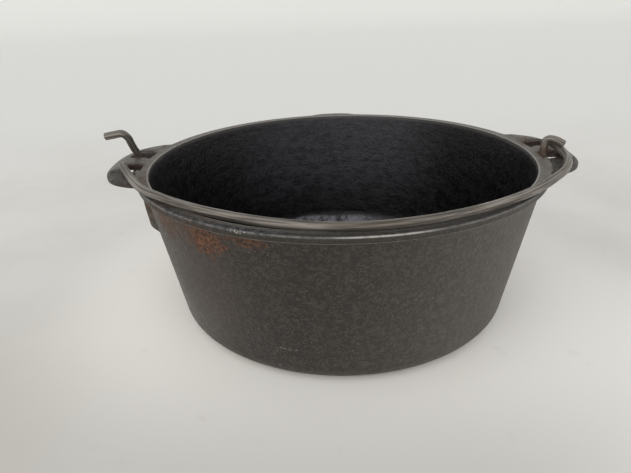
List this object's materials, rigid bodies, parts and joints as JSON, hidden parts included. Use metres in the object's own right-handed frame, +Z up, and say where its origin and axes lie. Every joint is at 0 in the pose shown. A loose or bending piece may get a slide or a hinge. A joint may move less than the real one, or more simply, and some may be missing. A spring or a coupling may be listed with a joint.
{
  "type": "dutch oven",
  "caption": "Round flared iron cooking pot with a flat rim, pierced side ears and a swinging bent wire bail.",
  "frame": {"origin": "centre of the pot's flat base, on the surface it stands on", "axes": "+Z up out of the mouth, X through the two ears, the bail lies forward towards -Y, the lug on the rim is at +Y"},
  "size_m": [0.3004, 0.2688, 0.1217],
  "materials": {
    "cast_iron": "seasoned, fine cast grain, worn bright at the rim's edge, rust stains below it",
    "steel_wire": "dull worn steel wire with brown rust at the hooks"
  },
  "bodies": {
    "pot": {"pot": "cast_iron"},
    "bail": {"bail": "steel_wire"}
  },
  "joints": [
    {"name": "bail_hinge", "type": "hinge", "parent": "pot", "child": "bail", "pos_m": [0, 0.00125, 0.0956], "axis": [-1, 0, 0], "range_deg": [0, 90]}
  ]
}
